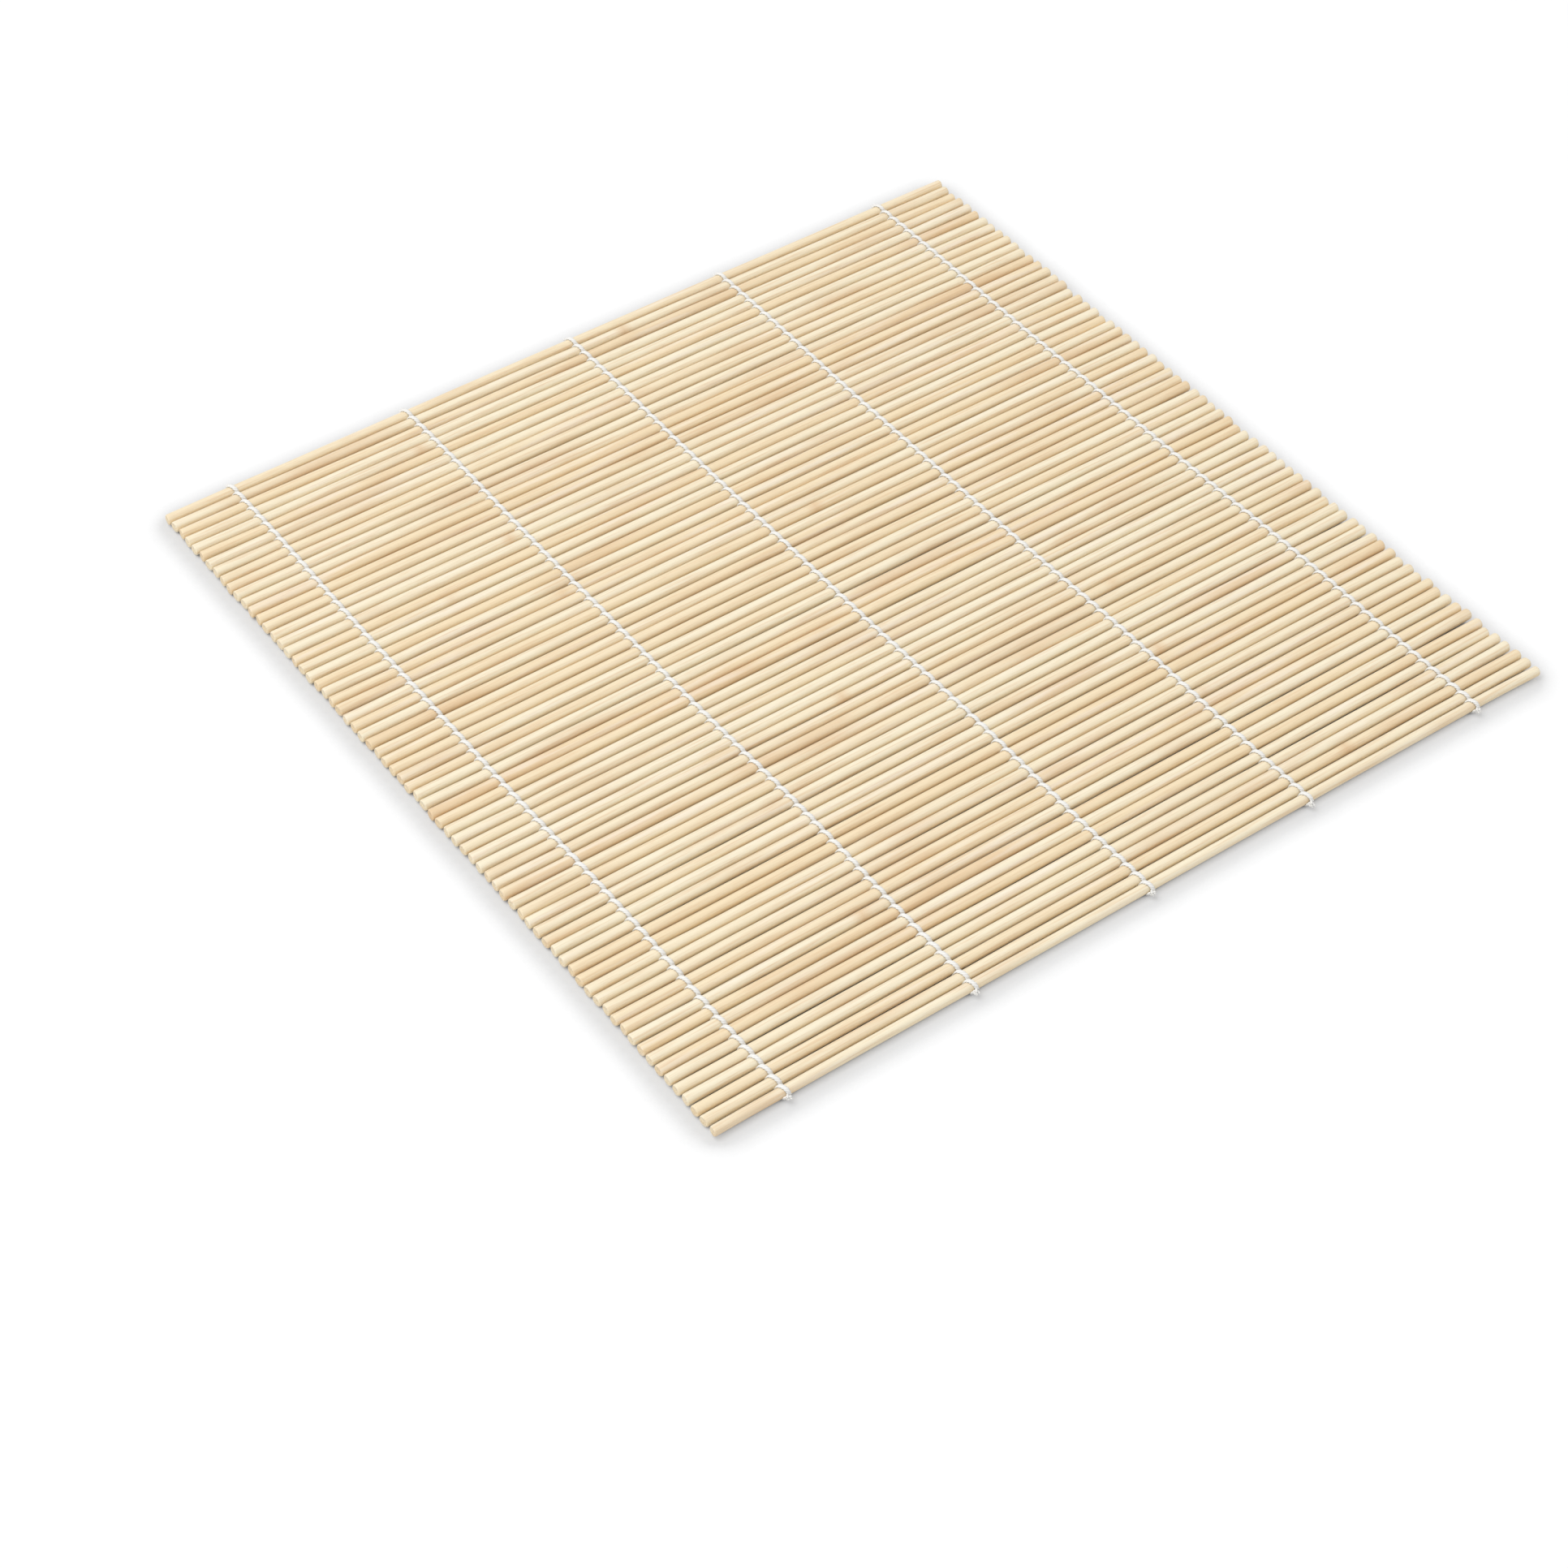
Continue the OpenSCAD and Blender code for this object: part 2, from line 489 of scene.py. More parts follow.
class SweepTree:
    """A geometry tree that sweeps a round section along a mesh path."""

    def __init__(self, name: str, numbers: Iterable[str]) -> None:
        """Makes a tree with a path and a material input and one input for each number.

        Args:
            name: the tree's name.
            numbers: names of its number inputs.
        """
        self.tree = bpy.data.node_groups.new(name, "GeometryNodeTree")
        face = self.tree.interface
        face.new_socket("Path", in_out="INPUT", socket_type="NodeSocketGeometry")
        for number in numbers:
            face.new_socket(number, in_out="INPUT", socket_type="NodeSocketFloat")
        face.new_socket("Finish", in_out="INPUT", socket_type="NodeSocketMaterial")
        face.new_socket("Piece", in_out="OUTPUT", socket_type="NodeSocketGeometry")
        self.sheet = Sheet(self.tree)
        self.start = self.sheet.add("NodeGroupInput")

    def given(self, name: str) -> Wire:
        """One of the tree's inputs."""
        return self.start.out(name)

    def attribute(self, name: str, kind: str = "FLOAT") -> Wire:
        """Reads an attribute that the geometry carries."""
        reader = "GeometryNodeInputNamedAttribute"
        return self.sheet.add(reader, {"data_type": kind}, {"Name": name}).out("Attribute")

    def store(
        self,
        geometry: Wire,
        name: str,
        value: Value,
        kind: str = "FLOAT",
        domain: str = "POINT",
    ) -> Wire:
        """Keeps a value of that kind on each point, or other domain, of the geometry."""
        settings = {"data_type": kind, "domain": domain}
        inputs = {"Geometry": geometry, "Name": name, "Value": value}
        node = self.sheet.add("GeometryNodeStoreNamedAttribute", settings, inputs)
        return node.out("Geometry")

    def sections(self, sides: int) -> tuple[Wire, Wire]:
        """Sweeps a ring of unit radius along the path.

        Args:
            sides: how many corners the ring has.

        Returns:
            The swept mesh, and the angle round the ring at its points.
        """
        path = self.sheet.add("GeometryNodeMeshToCurve", None, {"Mesh": self.given("Path")})
        place = self.sheet.add("GeometryNodeInputPosition").out("Position")
        curve = self.store(path.out("Curve"), "middle", place, "FLOAT_VECTOR")
        circle = {"Resolution": sides, "Radius": MM}
        ring = self.sheet.add("GeometryNodeCurvePrimitiveCircle", {"mode": "RADIUS"}, circle)
        index = self.sheet.add("GeometryNodeInputIndex").out("Index")
        profile = self.store(ring.out("Curve"), "turn", index * (math.tau / sides))
        swept = {"Curve": curve, "Profile Curve": profile, "Fill Caps": True}
        mesh = self.sheet.add("GeometryNodeCurveToMesh", None, swept)
        return mesh.out("Mesh"), self.attribute("turn")

    def place(self, geometry: Wire, position: Wire) -> Wire:
        """Puts every point of the geometry at a position."""
        inputs = {"Geometry": geometry, "Position": position}
        return self.sheet.add("GeometryNodeSetPosition", None, inputs).out("Geometry")

    def combine(self, operation: str, *values: Value) -> Wire:
        """The vector of a Vector Math node with these inputs, in order."""
        settings = {"operation": operation}
        inputs = dict(enumerate(values))
        return self.sheet.add("ShaderNodeVectorMath", settings, inputs).out("Vector")

    def scaled(self, vector: Value, factor: Value) -> Wire:
        """A vector times a number."""
        inputs = {0: vector, "Scale": factor}
        return self.sheet.add("ShaderNodeVectorMath", {"operation": "SCALE"}, inputs).out("Vector")

    def end(self, geometry: Wire) -> None:
        """Closes the tree: smooth faces, real geometry and the finish."""
        for kind, inputs in (
            ("GeometryNodeSetShadeSmooth", {}),
            ("GeometryNodeRealizeInstances", {}),
            ("GeometryNodeSetMaterial", {"Material": self.given("Finish")}),
        ):
            geometry = self.sheet.add(kind, None, {"Geometry": geometry} | inputs).out("Geometry")
        self.sheet.add("NodeGroupOutput", None, {"Piece": geometry})

    def run(
        self,
        name: str,
        path: bpy.types.Mesh,
        values: Mapping[str, object],
    ) -> bpy.types.Object:
        """Turns a path into a finished piece.

        Args:
            name: the piece's name.
            path: a mesh of edges with its attributes.
            values: the tree's inputs by name.

        Returns:
            A plain mesh object with no modifier.
        """
        maker = put(name + ".path", path)
        modifier = maker.modifiers.new("sweep", "NODES")
        modifier.node_group = self.tree
        for item in self.tree.interface.items_tree:
            if item.in_out == "INPUT" and item.name in values:
                modifier[item.identifier] = values[item.name]
        graph = bpy.context.evaluated_depsgraph_get()
        mesh = bpy.data.meshes.new_from_object(maker.evaluated_get(graph), depsgraph=graph)
        bpy.data.objects.remove(maker)
        mesh.name = name
        return put(name, mesh)


class StickTree(SweepTree):
    """Sweeps one bamboo stick: a nearly round rod with worn ends."""

    sides = 20
    bumps_along = 70.0
    bumps_round = 0.9
    bump_share = 0.05
    corners = 4.0
    end_facing = (0.75, 0.95)

    def __init__(self) -> None:
        """Builds the tree."""
        super().__init__("bamboo_stick", ("Radius", "Squareness", "Roll", "Tone", "Seed"))
        mesh, turn = self.sections(self.sides)
        middle = self.attribute("middle", "FLOAT_VECTOR")
        grown = self.attribute("girth")
        seed = self.given("Seed")
        spot = self.sheet.vector(
            self.sheet.parts(middle)[0] * self.bumps_along + seed,
            turn.cosine() * self.bumps_round,
            turn.sine() * self.bumps_round,
        )
        uneven = (self.sheet.noise(spot) - 0.5) * self.bump_share
        lobes = ((turn + self.given("Roll")) * self.corners).cosine() * self.given("Squareness")
        radius = self.given("Radius") * grown * (1.0 + lobes + uneven)
        across, above = turn.cosine() * radius, turn.sine() * radius
        section = self.sheet.vector(self.attribute("lean") * across, across, above)
        mesh = self.place(mesh, self.combine("ADD", middle, section))
        normal = self.sheet.add("GeometryNodeInputNormal").out("Normal")
        facing = self.sheet.parts(normal)[0].size().ramp(*self.end_facing)
        mesh = self.store(mesh, "sawn", facing, "FLOAT", "FACE")
        mesh = self.store(mesh, "tone", self.given("Tone"))
        self.end(mesh)


class YarnTree(SweepTree):
    """Sweeps plied twine, whose section turns along it and is pressed flat by its path."""

    plies = 3
    corners_per_ply = 4
    fibres_along = 700.0
    fibres_round = 2.2

    def __init__(self) -> None:
        """Builds the tree."""
        super().__init__("cotton_yarn", ("Lay length", "Depth", "Floor"))
        mesh, turn = self.sections(self.plies * self.corners_per_ply)
        middle = self.attribute("middle", "FLOAT_VECTOR")
        travel = self.attribute("travel")
        twist = turn + travel * math.tau / self.given("Lay length")
        crest = (turn * float(self.plies)).cosine() * 0.5 + 0.5
        bulge = 1.0 - self.given("Depth") * (1.0 - crest)
        lateral = self.attribute("lateral", "FLOAT_VECTOR")
        radial = self.attribute("radial", "FLOAT_VECTOR")
        wide = self.scaled(lateral, twist.cosine() * bulge * self.attribute("wide"))
        tall = self.scaled(radial, twist.sine() * bulge * self.attribute("tall"))
        spot = self.combine("ADD", self.combine("ADD", middle, wide), tall)
        x, y, z = self.sheet.parts(spot)
        mesh = self.place(mesh, self.sheet.vector(x, y, z.at_least(self.given("Floor"))))
        mesh = self.store(mesh, "crest", crest)
        lay = self.sheet.vector(
            travel * self.fibres_along,
            turn.cosine() * self.fibres_round,
            turn.sine() * self.fibres_round,
        )
        mesh = self.store(mesh, "lay", lay, "FLOAT_VECTOR")
        outward = self.sheet.add("GeometryNodeFlipFaces", None, {"Mesh": mesh})
        self.end(outward.out("Mesh"))


def path_mesh(name: str, chains: Sequence[Mapping[str, np.ndarray]]) -> bpy.types.Mesh:
    """Makes a mesh of edges from runs of points.

    Args:
        name: the mesh's name.
        chains: for each run, its "place" and its other attributes, one row a point.

    Returns:
        The mesh, whose points carry the attributes.
    """
    places = np.concatenate([chain["place"] for chain in chains])
    edges: list[tuple[int, int]] = []
    first = 0
    for chain in chains:
        count = len(chain["place"])
        edges += [(first + k, first + k + 1) for k in range(count - 1)]
        first += count
    mesh = bpy.data.meshes.new(name)
    mesh.from_pydata(places.tolist(), edges, [])
    for key in chains[0]:
        if key == "place":
            continue
        values = np.concatenate([chain[key] for chain in chains]).astype(np.float32)
        kind, item = ("FLOAT_VECTOR", "vector") if values.ndim == 2 else ("FLOAT", "value")
        mesh.attributes.new(key, kind, "POINT").data.foreach_set(item, values.ravel())
    return mesh


# The mat's layout


@dataclass(frozen=True)
class StickPlace:
    """Where one stick's solid lies."""

    number: int
    row: int
    left: float
    right: float
    y: float
    z: float
    radius: float


@dataclass
class MatLayout:
    """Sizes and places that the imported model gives."""

    nodes: Mapping[str, bpy.types.Object]
    joints: Sequence[Mapping[str, object]]
    sticks: list[StickPlace] = field(default_factory=list)
    string_x: list[float] = field(default_factory=list)
    between_sticks: float = 0.3 * MM
    between_strings: float = 10 * MM

    def __post_init__(self) -> None:
        """Reads the sticks and the strings' places."""
        rows = sorted(name for name in self.nodes if name.startswith("sticks_"))
        for row, name in enumerate(rows, start=1):
            self._read_row(row, self._points(name))
        strings = self._parts(self._points("strings_01"), 0, self.between_strings)
        self.string_x = [float(part[:, 0].min() + part[:, 0].max()) / 2 for part in strings]

    @property
    def rows(self) -> int:
        """How many rows of sticks hinge on each other."""
        return self.sticks[-1].row

    def in_row(self, row: int) -> list[StickPlace]:
        """The sticks of one row, from its far side."""
        return [stick for stick in self.sticks if stick.row == row]

    def hinge(self, row: int) -> Vector:
        """Where the hinge between a row and the next one lies."""
        joint = next(j for j in self.joints if j["parent"] == row_body(row))
        return Vector(joint["pos_m"])

    def _points(self, name: str) -> np.ndarray:
        """The corners of a node's solids, one row each."""
        mesh = self.nodes[name].data
        flat = np.empty(len(mesh.vertices) * 3, np.float32)
        mesh.vertices.foreach_get("co", flat)
        return flat.reshape(-1, 3).astype(float)

    @staticmethod
    def _parts(points: np.ndarray, axis: int, gap: float) -> list[np.ndarray]:
        """Splits points where they leave a gap along an axis."""
        ordered = points[np.argsort(points[:, axis])]
        cuts = np.nonzero(np.diff(ordered[:, axis]) > gap)[0] + 1
        return np.split(ordered, cuts)

    def _read_row(self, row: int, points: np.ndarray) -> None:
        """Adds one row's sticks, from its far side."""
        for part in reversed(self._parts(points, 1, self.between_sticks)):
            low, high = part.min(0), part.max(0)
            self.sticks.append(
                StickPlace(
                    number=len(self.sticks),
                    row=row,
                    left=float(low[0]),
                    right=float(high[0]),
                    y=float(low[1] + high[1]) / 2,
                    z=float(low[2] + high[2]) / 2,
                    radius=float(high[1] - low[1]) / 2,
                )
            )


def row_body(row: int) -> str:
    """The body that a row's pieces ride on."""
    return f"row_{row:02d}"


# Sticks


@dataclass
class Sticks:
    """The bamboo sticks, each with its own bow, girth, tone and worn ends.

    Attributes:
        half: half of the longest stick.
        free_end: the length past the outer strings.
        bow: the sideways bend.
        lift: the bend up or down between the strings.
        held: how far from a string that bend grows.
        splay: how far a free end stands aside.
        edge_splay: the same at the near edge's right end.
        wear: the length of a sawn end's worn rim.
        worn_girth: the girth that the rim loses.
        slant: the most that a sawn end slants.
        scarred_share: how many sticks have a trimmed node.
        scar_reach: how far from the middle it may lie, as a share of half the length.
        tone_shape: the spread of the tones.
        noise_step: how far apart the sticks' noise lies.
    """

    layout: MatLayout
    finish: bpy.types.Material
    seed: int = 4
    stations: int = 84
    half: float = 120 * MM
    free_end: float = 22 * MM
    bow: float = 0.14 * MM
    lift: float = 0.14 * MM
    held: float = 9 * MM
    splay: float = 0.22 * MM
    edge_splay: float = 0.45 * MM
    wear: float = 0.32 * MM
    worn_girth: float = 0.14
    slant: float = 0.12
    squareness: float = 0.008
    scarred_share: float = 0.16
    scar_reach: float = 0.8
    scar_length: float = 1.3 * MM
    scar_girth: float = 0.03
    tone_shape: tuple[float, float] = (1.6, 2.0)
    noise_step: float = 7.3

    def __post_init__(self) -> None:
        """Draws each stick's own numbers once, in order."""
        draw = np.random.default_rng(self.seed)
        count = len(self.layout.sticks)
        self.waves = draw.uniform(-1.0, 1.0, (count, 6))
        self.tones = draw.beta(*self.tone_shape, count)
        self.rolls = draw.uniform(0.0, math.tau, count)
        self.cuts = draw.uniform(-self.slant, self.slant, count)
        self.scar_at = draw.uniform(-self.scar_reach, self.scar_reach, count)
        self.scarred = draw.uniform(0.0, 1.0, count) < self.scarred_share

    def sideways(self, number: int, x: np.ndarray | float) -> np.ndarray:
        """How far a stick's middle line lies from straight, in Y, at places along it."""
        x = np.asarray(x, float)
        one, two, three, end = self.waves[number, :4]
        turn = math.pi * x / self.half
        gentle = one * np.cos(turn / 2) + 0.5 * two * np.sin(turn)
        gentle = gentle + 0.3 * three * np.sin(1.5 * turn + three)
        past = np.clip((np.abs(x) - self.half + self.free_end) / self.free_end, 0.0, 1.0) ** 2
        loose = self.splay * end
        if number == len(self.layout.sticks) - 1:
            loose = -self.edge_splay
        return self.bow * gentle + loose * past * np.where(x > 0, 1.0, 0.5)

    def upward(self, number: int, x: np.ndarray) -> np.ndarray:
        """How far a stick's middle line lies from level: not at all where a string holds it."""
        one, two = self.waves[number, 4:6]
        turn = math.pi * x / self.half
        near = np.abs(x[:, None] - np.array(self.layout.string_x)[None]).min(1)
        free = 1.0 - np.exp(-((near / self.held) ** 2))
        return self.lift * free * (one * np.cos(1.3 * turn) + two * np.sin(1.7 * turn))

    def build(self) -> list[bpy.types.Object]:
        """Makes every stick and puts it on its row's body."""
        tree = StickTree()
        pieces = [self._stick(tree, place) for place in self.layout.sticks]
        LOG.info("%d sticks", len(pieces))
        return pieces

    def _stick(self, tree: StickTree, place: StickPlace) -> bpy.types.Object:
        """Makes one stick where its solid lies."""
        number = place.number
        name = f"stick_{number + 1:02d}"
        piece = tree.run(
            name,
            path_mesh(name, [self._path(place)]),
            {
                "Radius": place.radius,
                "Squareness": self.squareness,
                "Roll": float(self.rolls[number]),
                "Tone": float(self.tones[number]),
                "Seed": number * self.noise_step,
                "Finish": self.finish,
            },
        )
        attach(piece, row_body(place.row))
        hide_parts(f"sticks_{place.row:02d}")
        return piece

    def _path(self, place: StickPlace) -> dict[str, np.ndarray]:
        """A stick's middle line, with its girth and the slant of its sawn ends."""
        number = place.number
        inset = abs(float(self.cuts[number])) * place.radius
        left = place.left + inset
        length = place.right - inset - left
        ends = np.array([0.0, 0.2, 0.45, 0.7, 1.0]) * self.wear
        inner = np.linspace(1.5 * MM, length - 1.5 * MM, self.stations)
        along = np.concatenate([ends, inner, length - ends[::-1]])
        x = left + along
        y = place.y + self.sideways(number, x)
        z = place.z + self.upward(number, x)
        from_end = np.minimum(along, length - along)
        girth = 1.0 - self.worn_girth * np.clip(1.0 - from_end / self.wear, 0.0, 1.0) ** 2
        scar = self._scar(number, x, length)
        slant = self.cuts[number] * np.clip(1.0 - from_end / (2 * MM), 0.0, 1.0)
        return {
            "place": np.stack([x, y, z], 1),
            "girth": girth * (1.0 + self.scar_girth * scar),
            "scar": scar,
            "lean": slant,
        }

    def _scar(self, number: int, x: np.ndarray, length: float) -> np.ndarray:
        """Where the trace of a trimmed bamboo node lies, on the sticks that have one."""
        if not self.scarred[number]:
            return np.zeros_like(x)
        middle = self.scar_at[number] * length / 2
        return np.exp(-(((x - middle) / self.scar_length) ** 2))


# Strings


@dataclass
class Strings:
    """Twined cotton strings: two strands each, swapping sides in every gap.

    Attributes:
        step: how far a strand lies from its string's line in a gap.
        wide_over: half of its width over a stick, and so on for a gap and the thickness.
        swell: how fast the one turns into the other.
        press: how far a strand is pressed against its stick.
        lay_length: how far the plies go in one turn.
        stitch_length: a strand's length for each stick.
        depth: the depth of the grooves between the plies.
        bend: half of the stretch across a hinge; not used.
        drift: the waves by which all strings wander along the sticks, in millimetres.
    """

    layout: MatLayout
    sticks: Sticks
    finish: bpy.types.Material
    step: float = 0.54 * MM
    wide_over: float = 0.64 * MM
    wide_gap: float = 0.68 * MM
    tall_over: float = 0.29 * MM
    tall_gap: float = 0.22 * MM
    swell: float = 0.7
    press: float = 0.055 * MM
    lay_length: float = 2.3 * MM
    stitch_length: float = 5.3 * MM
    rings: int = 26
    depth: float = 0.19
    bend: float = 0.3 * MM
    drift: tuple[tuple[float, float], ...] = ((0.08, -0.21), (-0.09, 0.13), (0.04, 0.15))

    def __post_init__(self) -> None:
        """Finds the middle of every gap, and half a gap past the edge sticks."""
        places = self.layout.sticks
        near_faces = [p.y - p.radius for p in places]
        far_faces = [p.y + p.radius for p in places]
        gaps = [(near + far) / 2 for near, far in zip(near_faces[:-1], far_faces[1:], strict=True)]
        half_gap = (near_faces[0] - far_faces[1]) / 2
        self.gaps = [far_faces[0] + half_gap, *gaps, near_faces[-1] - half_gap]
        self.yarn = YarnTree()

    def build(self) -> list[bpy.types.Object]:
        """Makes the strings in pieces: one on each row, and one across each hinge."""
        pieces = []
        last = len(self.layout.sticks)
        for row in range(1, self.layout.rows + 1):
            members = self.layout.in_row(row)
            start = 0.0 if row == 1 else members[0].number + 0.5
            end = float(last) if row == self.layout.rows else members[-1].number + 0.5
            piece = self._run(f"string_row_{row:02d}", start, end)
            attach(piece, row_body(row))
            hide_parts(f"strings_{row:02d}")
            pieces.append(piece)
            if row < self.layout.rows:
                pieces.append(self._crossing(row, members[-1].number))
        LOG.info("%d string pieces", len(pieces))
        return pieces

    def _crossing(self, row: int, number: int) -> bpy.types.Object:
        """The stretch of all strings across one hinge."""
        piece = self._run(f"string_hinge_{row:02d}", number + 0.5, number + 1.5)
        hinge = self.layout.hinge(row)
        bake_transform(piece)
        return piece

    def _run(self, name: str, start: float, end: float) -> bpy.types.Object:
        """Makes one stretch of all the strings, from start to end, counted in sticks."""
        lines = self.layout.string_x
        chains = [self.strand(x, phase, start, end) for x in lines for phase in (0, 1)]
        return self.spin(name, chains)

    def spin(self, name: str, chains: Sequence[Mapping[str, np.ndarray]]) -> bpy.types.Object:
        """Sweeps plied twine along paths."""
        lay = {"Lay length": self.lay_length, "Depth": self.depth, "Floor": 0.0}
        return self.yarn.run(name, path_mesh(name, chains), lay | {"Finish": self.finish})

    def strand(self, line: float, phase: int, start: float, end: float) -> dict[str, np.ndarray]:
        """One strand's path over and under the sticks.

        Args:
            line: the string's X.
            phase: 0 for the strand that goes over the first stick, 1 for the other.
            start: where it starts, counted in sticks from the far edge.
            end: where it ends.

        Returns:
            The path's points with their section and its directions.
        """
        count = max(2, round((end - start) * self.rings) + 1)
        rows = [self._station(line, phase, u) for u in np.linspace(start, end, count)]
        keys = ("place", "lateral", "radial", "wide", "tall", "travel")
        return {key: np.array([row[k] for row in rows], float) for k, key in enumerate(keys)}

    def wander(self, u: float) -> float:
        """How far all strings drift along the sticks, u sticks from the far edge."""
        turn = math.tau * u / len(self.layout.sticks)
        waves = (
            one * math.cos(k * turn) + two * math.sin(k * turn)
            for k, (one, two) in enumerate(self.drift, start=1)
        )
        return sum(waves) * MM

    def _station(self, line: float, phase: int, u: float) -> tuple[object, ...]:
        """One point of a strand, u sticks from the far edge."""
        last = len(self.layout.sticks) - 1
        number = min(int(u), last)
        place = self.layout.sticks[number]
        turn = (u - number) * math.pi
        cosine, sine = math.cos(turn), max(math.sin(turn), 0.0)
        over = 1.0 if (number + phase) % 2 == 0 else -1.0
        reach = self.gaps[number] - place.y if cosine > 0 else place.y - self.gaps[number + 1]
        height = place.radius + self.tall_over - self.press
        x = line + self.wander(u) - over * self.step * cosine
        y = place.y + reach * cosine + float(self.sticks.sideways(number, line)) * sine
        z = place.z + over * height * sine
        lean = over * math.atan2(self.step, reach) * math.sqrt(sine)
        lateral = Vector((math.cos(lean), math.sin(lean), 0.0))
        tangent = Vector((over * self.step * sine, -reach * sine, over * height * cosine))
        radial = lateral.cross(tangent.normalized()).normalized()
        swell = sine**self.swell
        wide = self.wide_gap + (self.wide_over - self.wide_gap) * swell
        tall = self.tall_gap + (self.tall_over - self.tall_gap) * swell
        return (x, y, z), tuple(lateral), tuple(radial), wide, tall, u * self.stitch_length


# Knots


@dataclass
class Knots:
    """The knots past the edge sticks, each with two frayed tails.

    Attributes:
        loop: the size of the trefoil.
        deep: its depth for that size.
        past: how far the knot, and then its tails, lie past the string's end.
        apart: how far to either side a tail starts.
        tail: the length of a tail with its fibres.
        stub: the share of it that is yarn.
    """

    layout: MatLayout
    strings: Strings
    finish: bpy.types.Material
    seed: int = 21
    loop: float = 0.185 * MM
    deep: float = 1.8
    yarn: float = 0.25 * MM
    past: float = 0.35 * MM
    apart: float = 0.2 * MM
    tail: float = 0.8 * MM
    stub: float = 0.6
    hairs: int = 9
    hair: float = 0.035 * MM

    def build(self) -> list[bpy.types.Object]:
        """Makes the knots of both edges."""
        draw = np.random.default_rng(self.seed)
        pieces = []
        for side in Side:
            index, row, u = 0, 1, 0.0
            if side is Side.NEAR:
                index, row, u = -1, self.layout.rows, float(len(self.layout.sticks))
            drift = self.strings.wander(u)
            for number, x in enumerate(self.layout.string_x, start=1):
                name = f"knot_{side.name.lower()}_{number}"
                past = self.strings.gaps[index] + side.value * self.past
                spot = Vector((x + drift, past, self.layout.sticks[0].z))
                piece = self.strings.spin(name, self._paths(spot, side, draw))
                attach(piece, row_body(row))
                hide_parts(f"knots_{side.name.lower()}")
                pieces.append(piece)
        LOG.info("%d knots", len(pieces))
        return pieces

    def _paths(
        self,
        spot: Vector,
        side: Side,
        draw: np.random.Generator,
    ) -> list[dict[str, np.ndarray]]:
        """The paths of one knot: its loops, its tails and their loose fibres."""
        chains = [self._loops(spot, side, float(draw.uniform(0, math.tau)))]
        for way in (-1.0, 1.0):
            splay = way * float(draw.uniform(0.25, 0.7))
            drop = float(draw.uniform(-0.5, 0.25))
            start = spot + Vector((way * self.apart, side.value * self.past, 0.0))
            heading = Vector((splay, side.value, drop)).normalized()
            length = self.tail * float(draw.uniform(0.75, 1.1))
            stub = start + heading * length * self.stub
            chains.append(self._line(start, stub, (self.yarn * 0.85, self.yarn * 0.95), 7))
            for _ in range(self.hairs):
                spread = Vector(draw.uniform(-0.4, 0.4, 3).tolist())
                base = start + heading * length * 0.45 + spread * self.yarn * 0.6
                share = float(draw.uniform(0.85, 1.15))
                tip = start + (heading + spread).normalized() * length * share
                chains.append(self._line(base, tip, (self.hair, self.hair * 0.4), 3))
        return chains

    def _loops(self, spot: Vector, side: Side, roll: float) -> dict[str, np.ndarray]:
        """A trefoil's turns round the string's end."""
        turns = np.linspace(0.0, math.tau, 61)
        across = np.sin(turns) + 2 * np.sin(2 * turns)
        tall = np.cos(turns) - 2 * np.cos(2 * turns)
        deep = -np.sin(3 * turns)
        c, s = math.cos(roll), math.sin(roll)
        places = np.stack(
            [
                spot.x + self.loop * (c * across - s * tall),
                spot.y + side.value * self.deep * self.loop * deep,
                spot.z + self.loop * (s * across + c * tall),
            ],
            1,
        )
        return self._framed(places, np.full(len(places), self.yarn))

    def _line(
        self,
        start: Vector,
        end: Vector,
        radii: tuple[float, float],
        count: int,
    ) -> dict[str, np.ndarray]:
        """A short straight path from start to end, with the radii there and so many points."""
        first, last = radii
        share = np.linspace(0.0, 1.0, count)[:, None]
        places = np.array(start)[None] * (1 - share) + np.array(end)[None] * share
        return self._framed(places, first + (last - first) * share[:, 0])

    def _framed(self, places: np.ndarray, radius: np.ndarray) -> dict[str, np.ndarray]:
        """Adds a section's directions, size and travel to a path's points."""
        steps = np.gradient(places, axis=0)
        tangents = steps / np.linalg.norm(steps, axis=1, keepdims=True)
        lateral = np.cross(tangents, np.array([0.13, 0.31, 0.94]))
        lateral /= np.linalg.norm(lateral, axis=1, keepdims=True)
        lengths = np.linalg.norm(np.diff(places, axis=0), axis=1)
        travel = np.concatenate([[0.0], np.cumsum(lengths)])
        return {
            "place": places,
            "lateral": lateral,
            "radial": np.cross(lateral, tangents),
            "wide": radius,
            "tall": radius,
            "travel": travel,
        }


# Studio


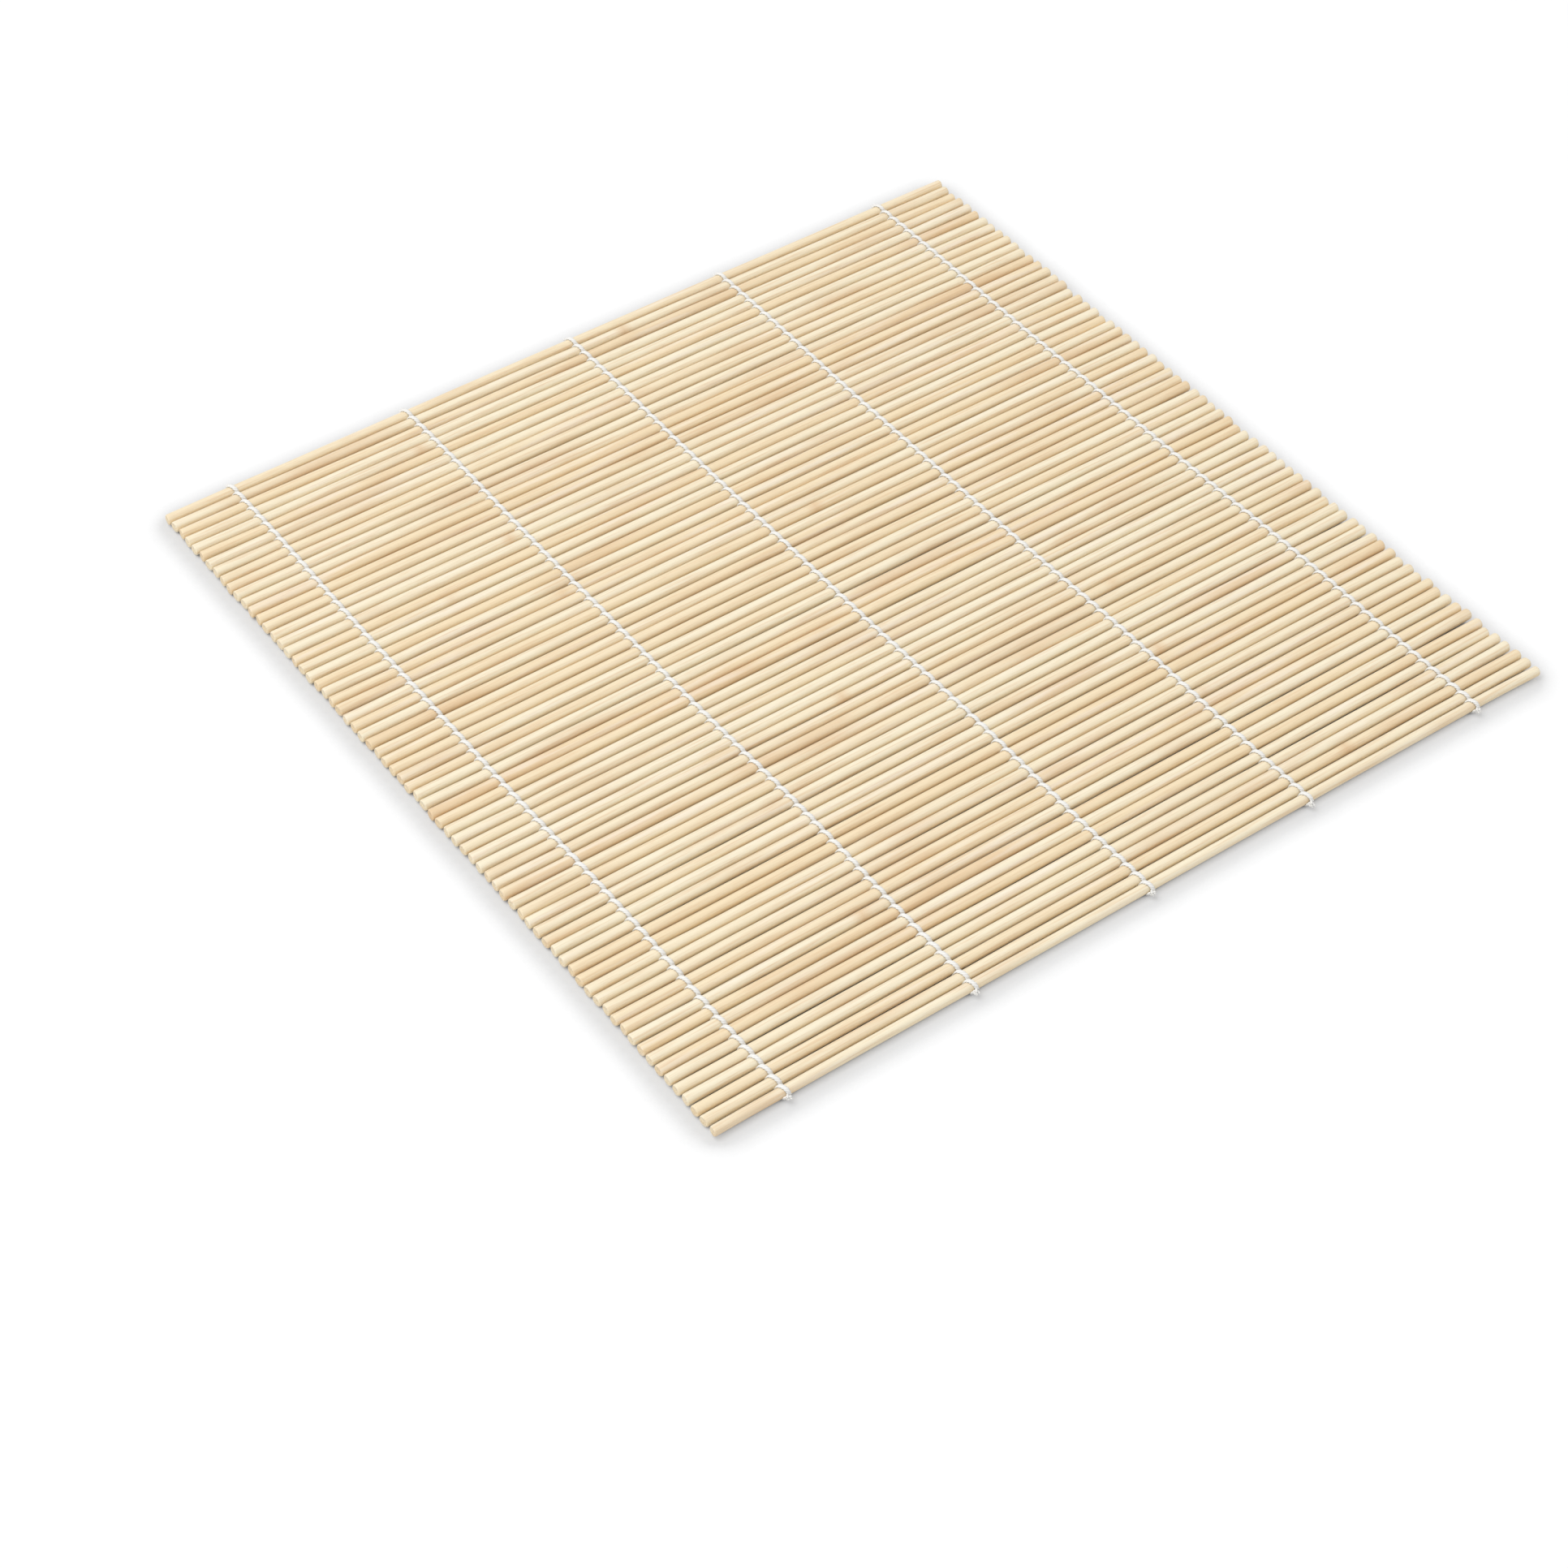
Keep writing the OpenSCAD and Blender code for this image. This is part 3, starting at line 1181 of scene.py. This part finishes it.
@dataclass(frozen=True)
class Camera:
    """The photograph's view of the mat lying flat."""

    azimuth: float = math.radians(-37.50)
    elevation: float = math.radians(46.428)
    distance: float = 0.7931
    roll: float = math.radians(1.861)
    focal_share: float = 4279.5 / 1932.0
    target: tuple[float, float, float] = (-48.61 * MM, -43.28 * MM, 1.9 * MM)
    sensor: float = 36.0

    def build(self) -> None:
        """Makes the camera and the scene use it."""
        data = bpy.data.cameras.new("camera")
        data.sensor_width = self.sensor
        data.sensor_fit = "HORIZONTAL"
        data.lens = self.sensor * self.focal_share
        data.clip_start = 0.01
        camera = put("camera", data)
        level = math.cos(self.elevation)
        aside, ahead = level * math.sin(self.azimuth), -level * math.cos(self.azimuth)
        back = Vector((aside, ahead, math.sin(self.elevation)))
        right = (-back).cross(Vector((0.0, 0.0, 1.0))).normalized()
        up = right.cross(-back)
        turn = Matrix.Rotation(self.roll, 4, back)
        axes = Matrix((right, up, back)).transposed().to_4x4()
        eye = Vector(self.target) + back * self.distance
        camera.matrix_world = Matrix.Translation(eye) @ turn @ axes
        bpy.context.scene.camera = camera


@dataclass(frozen=True)
class Lamp:
    """A soft rectangular lamp that faces the mat."""

    name: str
    direction: tuple[float, float, float]
    distance: float
    size: float
    power: float

    def build(self) -> None:
        """Makes the lamp."""
        data = bpy.data.lights.new(self.name, "AREA")
        data.shape = "SQUARE"
        data.size = self.size
        data.energy = self.power
        lamp = put(self.name, data)
        way = Vector(self.direction).normalized()
        lamp.location = way * self.distance
        lamp.rotation_euler = way.to_track_quat("Z", "Y").to_euler()


@dataclass(frozen=True)
class Studio:
    """A pale floor, plain soft light and the camera."""

    floor_half: float = 3.0
    world: float = 0.67
    lamps: tuple[Lamp, ...] = (Lamp("key", (-0.38, 0.09, 1.0), 2.7, 1.8, 49.4),)

    def build(self) -> None:
        """Makes everything that isn't the mat."""
        Camera().build()
        for lamp in self.lamps:
            lamp.build()
        self._world()
        self._floor()
        bpy.context.scene.view_settings.view_transform = "Standard"

    def _world(self) -> None:
        """An even pale surround, which the camera and reflections see as white."""
        world = bpy.data.worlds.new("surround")
        world.use_nodes = True
        world.node_tree.nodes.clear()
        sheet = Sheet(world.node_tree)
        rays = sheet.add("ShaderNodeLightPath")
        mirrored = rays.out("Is Glossy Ray") + rays.out("Is Transmission Ray")
        seen = (rays.out("Is Camera Ray") + mirrored).ramp(0.0, 1.0)
        strength = self.world + seen * (1.0 - self.world)
        inputs = {"Color": (1.0, 1.0, 1.0, 1.0), "Strength": strength}
        light = sheet.add("ShaderNodeBackground", None, inputs).out("Background")
        sheet.add("ShaderNodeOutputWorld", None, {"Surface": light})
        bpy.context.scene.world = world

    def _floor(self) -> None:
        """The floor that the mat lies on."""
        half = self.floor_half
        corners = [(x * half, y * half, 0.0) for x, y in ((-1, -1), (1, -1), (1, 1), (-1, 1))]
        mesh = bpy.data.meshes.new("floor")
        mesh.from_pydata(corners, [], [(0, 1, 2, 3)])
        mesh.materials.append(FloorFinish("pale_floor").build())
        put("floor", mesh)


def main() -> None:
    """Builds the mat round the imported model, and the studio."""
    logging.basicConfig(level=logging.INFO, format="%(name)s: %(message)s")
    for block in list(bpy.data.objects):
        bpy.data.objects.remove(block)
    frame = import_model()
    layout = MatLayout(frame["nodes"], frame["joints"])
    LOG.info("%d sticks in %d rows", len(layout.sticks), layout.rows)
    bamboo = BambooFinish("pale_bamboo").build()
    cotton = CottonFinish("white_cotton").build()
    sticks = Sticks(layout, bamboo)
    sticks.build()
    strings = Strings(layout, sticks, cotton)
    strings.build()
    Knots(layout, strings, cotton).build()
    Studio().build()


if __name__ == "__main__":
    main()
